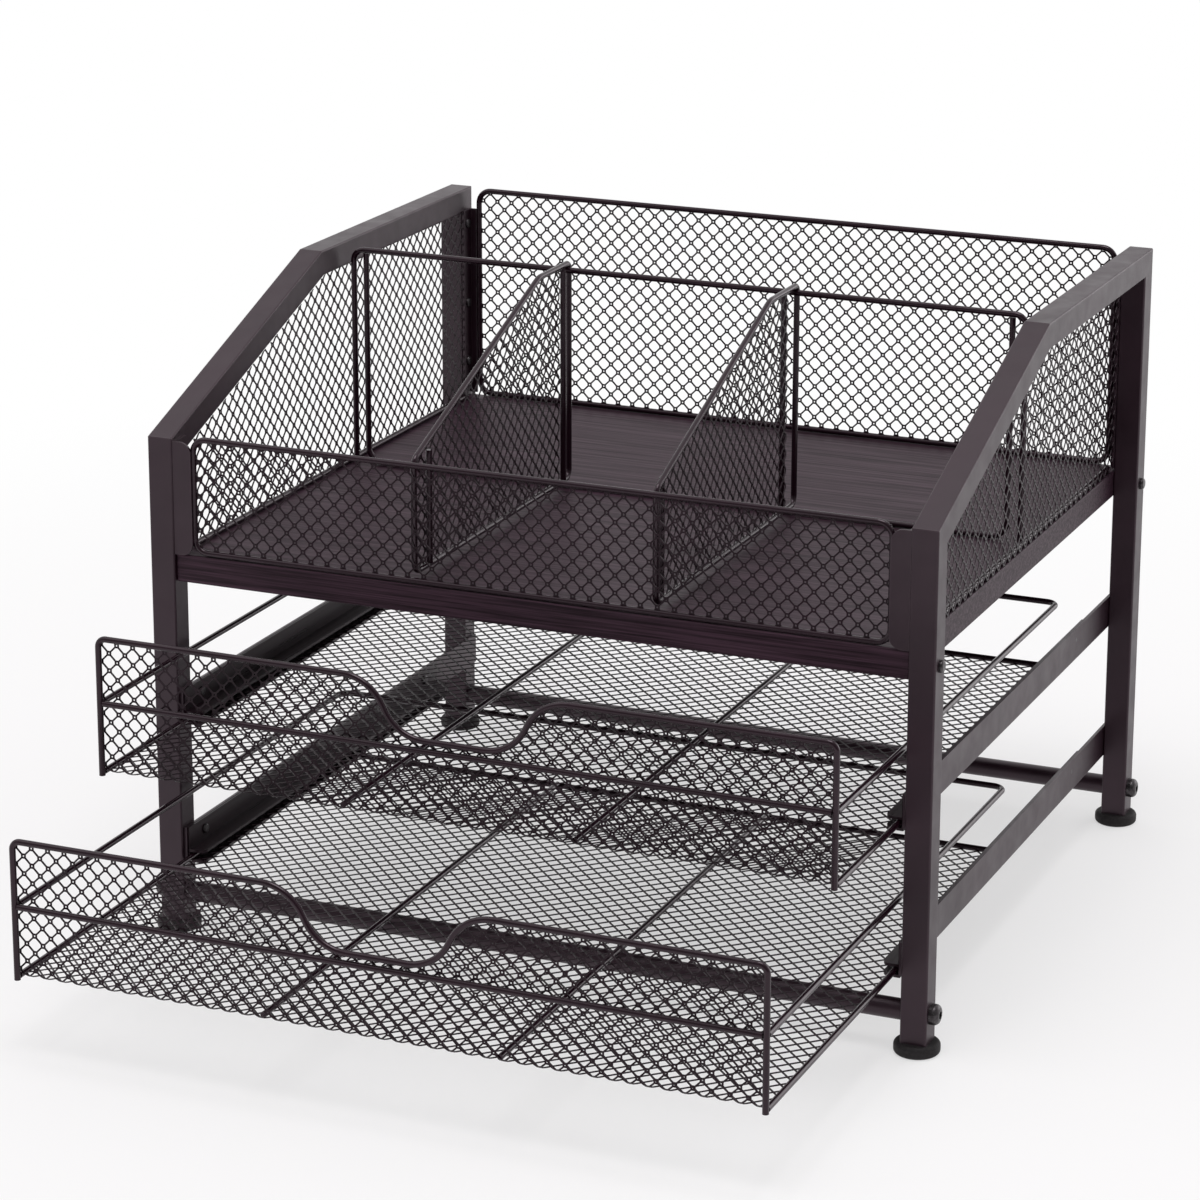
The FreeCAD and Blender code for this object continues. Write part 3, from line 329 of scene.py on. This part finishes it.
# %% Paint the solid pieces
finishes = {
    "powder_coated_steel": tube_coat,
    "coated_wire": wire_coat,
    "steel_mesh": mesh_coat,
    "runner_steel": runner_coat,
    "black_fasteners": fastener_black,
    "foot_rubber": foot_black,
    "black_wood": shelf_stain,
}
slot_of = {part["node"]: part["material_slot"] for part in frame["record"]["subparts"]}
for name, piece in nodes.items():
    for material_slot in piece.material_slots:
        material_slot.material = finishes[slot_of[name]]
print("painted", len(slot_of), "pieces in", len(finishes), "finishes")

# %% [markdown]
# The mesh is expanded steel: a square lattice that stands on its corners, with a pitch of 8.5 mm. Each
# opening has blunt corners, and where four strands meet there is a pinhole, which gives the mesh its
# sparkle against a light. It could be faked with a see-through texture, but then it would have no thickness,
# and its fold at the drawer's lower edge would be wrong. A grid gives the real shape with few faces: every
# grid point is bevelled into a small square, every face is inset by half a strand, and the inner faces are
# the holes. The lattice is flat at first, because flat sheets are easy to cut.

# %% A flat lattice of strands
PITCH = 8.5 * MM
STRAND = 0.8 * MM
CROSSING = 1.15 * MM
SHEET = 0.4 * MM


def flat_lattice(low, high, pinholes=True):
    """A flat lattice over a rectangle from a low to a high corner. Its strands cross at the origin."""
    side = PITCH / math.sqrt(2)
    middle = [round((a + b) / 2 / PITCH) * PITCH for a, b in zip(low, high)]
    reach = (Vector(high) - Vector(low)) / 2 + Vector((PITCH, PITCH))
    count = 2 * math.ceil((reach.x + reach.y) / math.sqrt(2) / side)
    lattice = bmesh.new()
    bmesh.ops.create_grid(lattice, x_segments=count, y_segments=count, size=count * side / 2)
    bmesh.ops.rotate(lattice, verts=lattice.verts, matrix=Matrix.Rotation(math.pi / 4, 3, "Z"))
    outside = []
    for face in lattice.faces:
        place = face.calc_center_median()
        if abs(place.x) > reach.x or abs(place.y) > reach.y:
            outside.append(face)
    bmesh.ops.delete(lattice, geom=outside, context="FACES")
    if pinholes:
        crossings = [point for point in lattice.verts if not point.is_boundary]
        bmesh.ops.bevel(
            lattice, geom=crossings, offset=CROSSING, offset_type="OFFSET",
            affect="VERTICES", segments=1, profile=0.5, material=-1,
        )
    openings = lattice.faces[:]
    bmesh.ops.inset_individual(lattice, faces=openings, thickness=STRAND / 2, use_even_offset=True)
    bmesh.ops.delete(lattice, geom=openings, context="FACES_ONLY")
    bmesh.ops.translate(lattice, verts=lattice.verts, vec=(*middle, 0))
    return lattice


trial = flat_lattice((0, 0), (10 * PITCH, 10 * PITCH))
print(len(trial.faces), "strand faces in a trial piece of ten by ten openings")
trial.free()

# %% [markdown]
# A sheet is trimmed with straight cuts, as with shears. A Boolean with a block could do it too, but a cut
# along a plane is exact on a flat sheet and leaves nothing to clean up. The same tool, told to keep both
# sides, only adds a line of points. That is useful later, for bends.

# %% Shears
def cut(sheet, point, away, clear=True, geometry=None):
    """Cuts a sheet along a line through a point, and clears what lies on the away side."""
    geometry = geometry or sheet.verts[:] + sheet.edges[:] + sheet.faces[:]
    bmesh.ops.bisect_plane(
        sheet, geom=geometry, dist=0.001 * MM, plane_co=(*point, 0), plane_no=(*away, 0), clear_outer=clear,
    )


def finish_sheet(sheet, name, body, stand_in):
    """Turns a flat or bent sheet into a finished piece of the object, in place of its solid stand-in."""
    mesh = bpy.data.meshes.new(name)
    sheet.to_mesh(mesh)
    sheet.free()
    mesh.materials.append(mesh_coat)
    piece = bpy.data.objects.new(name, mesh)
    bpy.context.scene.collection.objects.link(piece)
    thickness = piece.modifiers.new("sheet thickness", "SOLIDIFY")
    thickness.thickness = SHEET
    thickness.offset = 0
    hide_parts(stand_in)
    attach(piece, body)
    print(piece.name, len(mesh.polygons), "faces")


print("shears ready")

# %% [markdown]
# The upright panels are flat pieces of that lattice, cut to shape and tack-welded to a wire or a tube. Each
# is cut along the sides of its outline, turned into its plane, and given its thickness by a Solidify
# modifier, which is lighter than modelling two faces. The cut strands end in the middle of the wire, where
# the weld hides them, as on the real panels. A divider's mesh ends at its rear stay.

# %% Weave the upright panels
UPRIGHT_ACROSS = Matrix(((1, 0, 0), (0, 0, 1), (0, 1, 0))).to_4x4()
UPRIGHT_ALONG = Matrix(((0, 0, 1), (1, 0, 0), (0, 1, 0))).to_4x4()


def weave_panel(node_name, outline, plane, turn):
    """A panel from (across, up) corners in millimetres, counter-clockwise, at a distance along its normal."""
    corners = [Vector(corner) * MM for corner in outline]
    low = [min(corner[i] for corner in corners) for i in range(2)]
    high = [max(corner[i] for corner in corners) for i in range(2)]
    sheet = flat_lattice(low, high)
    for start, end in zip(corners, corners[1:] + corners[:1]):
        along = end - start
        cut(sheet, start, (along.y, -along.x))
    bmesh.ops.transform(sheet, matrix=turn @ Matrix.Translation((0, 0, plane)), verts=sheet.verts)
    finish_sheet(sheet, node_name.replace("_mesh", "_weave"), "frame", node_name)


def wide_panel(node_name, side_reach, low, high):
    """A rectangular panel across the object, in the plane of its solid stand-in."""
    front, back = (corner.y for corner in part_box(node_name))
    outline = [(-side_reach, low), (side_reach, low), (side_reach, high), (-side_reach, high)]
    weave_panel(node_name, outline, (front + back) / 2, UPRIGHT_ACROSS)


wide_panel("front_panel_mesh", 176.6, 197.6, 252.9)
wide_panel("back_panel_mesh", 180.4, 197.6, 310.9)
side_outline = [(-77.4, 195.6), (236.1, 195.6), (236.1, 300.5), (71.6, 300.5), (-77.4, 245.3)]
divider_outline = [(-83.4, 200.8), (84.4, 200.8), (84.4, 311.9), (59.6, 311.9), (-83.4, 254.6)]
for side in ("left", "right"):
    for kind, outline in (("side", side_outline), ("divider", divider_outline)):
        inner, outer = (corner.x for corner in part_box(f"{side}_{kind}_mesh"))
        weave_panel(f"{side}_{kind}_mesh", outline, (inner + outer) / 2, UPRIGHT_ALONG)

# %% [markdown]
# Each drawer has one sheet of mesh, folded up at the front, behind the front wires and under the floor
# wires. The front part follows the wire with its finger notch, and the fold shows as a row of scallops,
# because the bend crosses the openings wherever they fall. Two flat sheets could be butted together there,
# but that would give a straight cut edge. Instead the flat lattice is cut first, with the notch, and then
# every point is carried around a small bend. The floor is a second piece that continues the same lattice, so
# no piece grows too heavy.

# %% Cut the finger notch
NOTCH_SHOULDER = 42 * MM
NOTCH_FLOOR = 29 * MM
NOTCH_DEPTH = 27 * MM
NOTCH_BEND = 22.5 * MM
BEND_STEPS = 5


def notch_line(top):
    """The right half of the notch as (across, up) points, from its floor's middle to its shoulder."""
    slope = math.atan2(NOTCH_DEPTH, NOTCH_SHOULDER - NOTCH_FLOOR)
    run_in = NOTCH_BEND * math.tan(slope / 2)
    floor = top - NOTCH_DEPTH
    bend = []
    for step in range(BEND_STEPS + 1):
        angle = slope * step / BEND_STEPS
        bend.append((NOTCH_BEND * math.sin(angle), NOTCH_BEND * (1 - math.cos(angle))))
    points = [(0, floor)]
    points += [(NOTCH_FLOOR - run_in + across, floor + rise) for across, rise in bend]
    points += [(NOTCH_SHOULDER + run_in - across, top - rise) for across, rise in reversed(bend)]
    return points


def faces_with_rims(faces):
    """Some faces with their points and edges, each once, which is what a cut works on."""
    points = dict.fromkeys(point for face in faces for point in face.verts)
    edges = dict.fromkeys(edge for face in faces for edge in face.edges)
    return [*points, *edges, *faces]


def cut_notch(sheet, top):
    """Cuts the notch out of the upper edge, one narrow strip of the sheet at a time."""
    right = notch_line(top)
    lowest = top - NOTCH_DEPTH - PITCH
    line = [(-x, y) for x, y in reversed(right[1:])] + right
    for x, _ in line:
        above = [face for face in sheet.faces if face.calc_center_median().y > lowest]
        cut(sheet, (x, 0), (1, 0), clear=False, geometry=faces_with_rims(above))
    surplus = []
    for start, end in zip(line, line[1:]):
        def in_strip(face):
            return start[0] < face.calc_center_median().x < end[0]

        strip = [face for face in sheet.faces if in_strip(face) and face.calc_center_median().y > lowest]
        chord = Vector(end) - Vector(start)
        upwards = Vector((-chord.y, chord.x))
        cut(sheet, start, upwards, clear=False, geometry=faces_with_rims(strip))
        for face in sheet.faces:
            if in_strip(face) and (face.calc_center_median().xy - Vector(start)).dot(upwards) > 0:
                surplus.append(face)
    bmesh.ops.delete(sheet, geom=surplus, context="FACES")


print("the notch reaches", round(notch_line(0)[-1][0] / MM, 1), "mm to each side")

# %% [markdown]
# The bend itself is a rule for one point: above the bend a point stays in the front's plane, below it the
# point lies in the floor's plane, and in between it goes round a quarter circle of the same length. A few
# cuts across the bend give the strands enough points to look round.

# %% Fold the drawer sheets
FOLD = 3 * MM
ARC = FOLD * math.pi / 2
HALF_WIDTH = 182.4 * MM
UNDER_TOP_WIRE = 2.3 * MM
UNDER_REAR_WIRE = 0.8 * MM
SOLID_SHEET = 1.2 * MM


def fold(sheet, front_plane, floor_plane):
    """Carries a flat sheet around the fold. Its Y is the height over the floor plane before the fold."""
    for point in sheet.verts:
        across, height, _ = point.co
        if height >= FOLD:
            point.co = (across, front_plane, floor_plane + height)
        elif height >= FOLD - ARC:
            angle = (FOLD - height) / FOLD
            behind, rise = FOLD * (1 - math.cos(angle)), FOLD * (1 - math.sin(angle))
            point.co = (across, front_plane + behind, floor_plane + rise)
        else:
            point.co = (across, front_plane + FOLD + FOLD - ARC - height, floor_plane)


def drawer_sheets(level):
    """The front and the floor of one drawer, in the planes of their solid stand-in."""
    name = f"{level}_drawer_mesh"
    low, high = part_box(name)
    front_plane = low.y + SOLID_SHEET / 2
    floor_plane = low.z + SOLID_SHEET / 2
    front_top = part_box(f"{level}_drawer_front_wire")[1].z - UNDER_TOP_WIRE - floor_plane
    seam = FOLD - ARC
    depth = high.y + UNDER_REAR_WIRE - front_plane
    for part, bottom, top in (("front", seam, front_top), ("floor", 2 * FOLD - ARC - depth, seam)):
        sheet = flat_lattice((-HALF_WIDTH, bottom), (HALF_WIDTH, top), pinholes=part == "front")
        for sign, height in ((1, top), (-1, bottom)):
            cut(sheet, (sign * HALF_WIDTH, 0), (sign, 0))
            cut(sheet, (0, height), (0, sign))
        if part == "front":
            cut_notch(sheet, top)
            for step in range(BEND_STEPS):
                cut(sheet, (0, FOLD - ARC * step / BEND_STEPS), (0, 1), clear=False)
        fold(sheet, front_plane, floor_plane)
        finish_sheet(sheet, f"{level}_drawer_{part}_weave", f"{level}_drawer", name)


drawer_sheets("upper")
drawer_sheets("lower")

# %% [markdown]
# The studio is plain: a pale floor that fades into white. A curved backdrop would do it too, but a floor
# that glows in the distance looks the same from every side. Near the object the floor is mostly a lit
# surface, which keeps the shadow. Farther out a white glow takes over, which only the camera and shiny
# surfaces see, so it puts no more light on the object.

# %% The floor
def background_rays(tree):
    """A number that is 1 for the rays that see the background, and 0 for those that gather light."""
    path = node(tree, "LightPath").outputs
    shiny = worked_out(tree, "Math", "MAXIMUM", path["Is Glossy Ray"], path["Is Transmission Ray"]).outputs[0]
    return worked_out(tree, "Math", "MAXIMUM", path["Is Camera Ray"], shiny).outputs[0]


def floor_paper(lit_reach, white_reach, least_glow):
    """A material that is lit like paper around the middle and glows white farther out."""
    material = bpy.data.materials.new("pale_studio_floor")
    material.use_nodes = True
    tree = material.node_tree
    tree.nodes.clear()
    lit = node(tree, "BsdfDiffuse", Color=(0.95, 0.925, 0.94, 1))
    glow = node(tree, "Emission")
    place = node(tree, "TexCoord").outputs["Object"]
    distance = worked_out(tree, "VectorMath", "LENGTH", place).outputs["Value"]
    fade = ramp(tree, distance, lit_reach, white_reach, least_glow, 1, "SMOOTHSTEP")
    blend = node(tree, "MixShader")
    parts = (product(tree, background_rays(tree), fade), lit.outputs[0], glow.outputs[0])
    for socket, value in zip(blend.inputs, parts):
        feed(socket, value)
    node(tree, "OutputMaterial", Surface=blend.outputs[0])
    return material


def studio_floor(radius, paper):
    """A round floor under the object."""
    sheet = bmesh.new()
    bmesh.ops.create_circle(sheet, cap_ends=True, segments=96, radius=radius)
    mesh = bpy.data.meshes.new("floor")
    sheet.to_mesh(mesh)
    sheet.free()
    mesh.materials.append(paper)
    floor = bpy.data.objects.new("floor", mesh)
    bpy.context.scene.collection.objects.link(floor)


studio_floor(radius=6, paper=floor_paper(lit_reach=0.35, white_reach=1.1, least_glow=0.55))
print("a pale floor that fades into white")

# %% [markdown]
# Soft light comes from all around. Dark satin metal shows only what it reflects, so the white surroundings
# do most of the modelling of its edges. In reflections the front right of the studio is dim, where a
# photographer leaves the lamps out. Then round wires keep a dark middle and get their light along the edges.
# The dim side is fixed in the studio, so it stays there when the object is seen from elsewhere.

# %% The surroundings
def surroundings(glow, dim_side):
    """A white world for the camera, a dimmer one for lighting, and one with a dim side for shiny surfaces."""
    world = bpy.data.worlds.new("white_studio")
    bpy.context.scene.world = world
    world.use_nodes = True
    tree = world.node_tree
    outwards = node(tree, "TexCoord").outputs["Generated"]
    to_dim_side = worked_out(tree, "VectorMath", "DOT_PRODUCT", outwards, direction(TURN, 0)).outputs["Value"]
    dimming = ramp(tree, to_dim_side, -0.2, 0.8, 1, dim_side)
    seen = node(tree, "Mix", Factor=node(tree, "LightPath").outputs["Is Glossy Ray"], A=1, B=dimming)
    strength = ramp(tree, background_rays(tree), 0, 1, glow, 1)
    background = tree.nodes["Background"]
    feed(background.inputs["Color"], (1, 1, 1, 1))
    feed(background.inputs["Strength"], product(tree, strength, seen.outputs[0]))


surroundings(glow=0.55, dim_side=0.25)
bpy.context.scene.view_settings.view_transform = "Standard"
print("white surroundings")

# %% [markdown]
# Three large lamps finish the light. One high above gives the floor its soft shadow and the wires a line of
# light. A weak one from the left opens the shadows there, and a low one behind the right side lights the
# outer faces of the side frames, which would be as dark as the front without it.

# %% The lamps
def soft_lamp(name, turn, height_angle, distance, size, power):
    """A square lamp that faces the middle of the object."""
    lamp = bpy.data.objects.new(name, bpy.data.lights.new(name, "AREA"))
    lamp.data.size = size
    lamp.data.energy = power
    bpy.context.scene.collection.objects.link(lamp)
    lamp.matrix_world = facing_back(direction(math.radians(turn), math.radians(height_angle)), distance)
    return lamp


lamps = [
    soft_lamp("high_lamp", turn=15, height_angle=76, distance=2.3, size=1.2, power=25),
    soft_lamp("high_left_lamp", turn=-60, height_angle=48, distance=2.4, size=1.4, power=5),
    soft_lamp("low_back_lamp", turn=140, height_angle=12, distance=2.4, size=1.6, power=14),
]
print(len(lamps), "soft lamps")
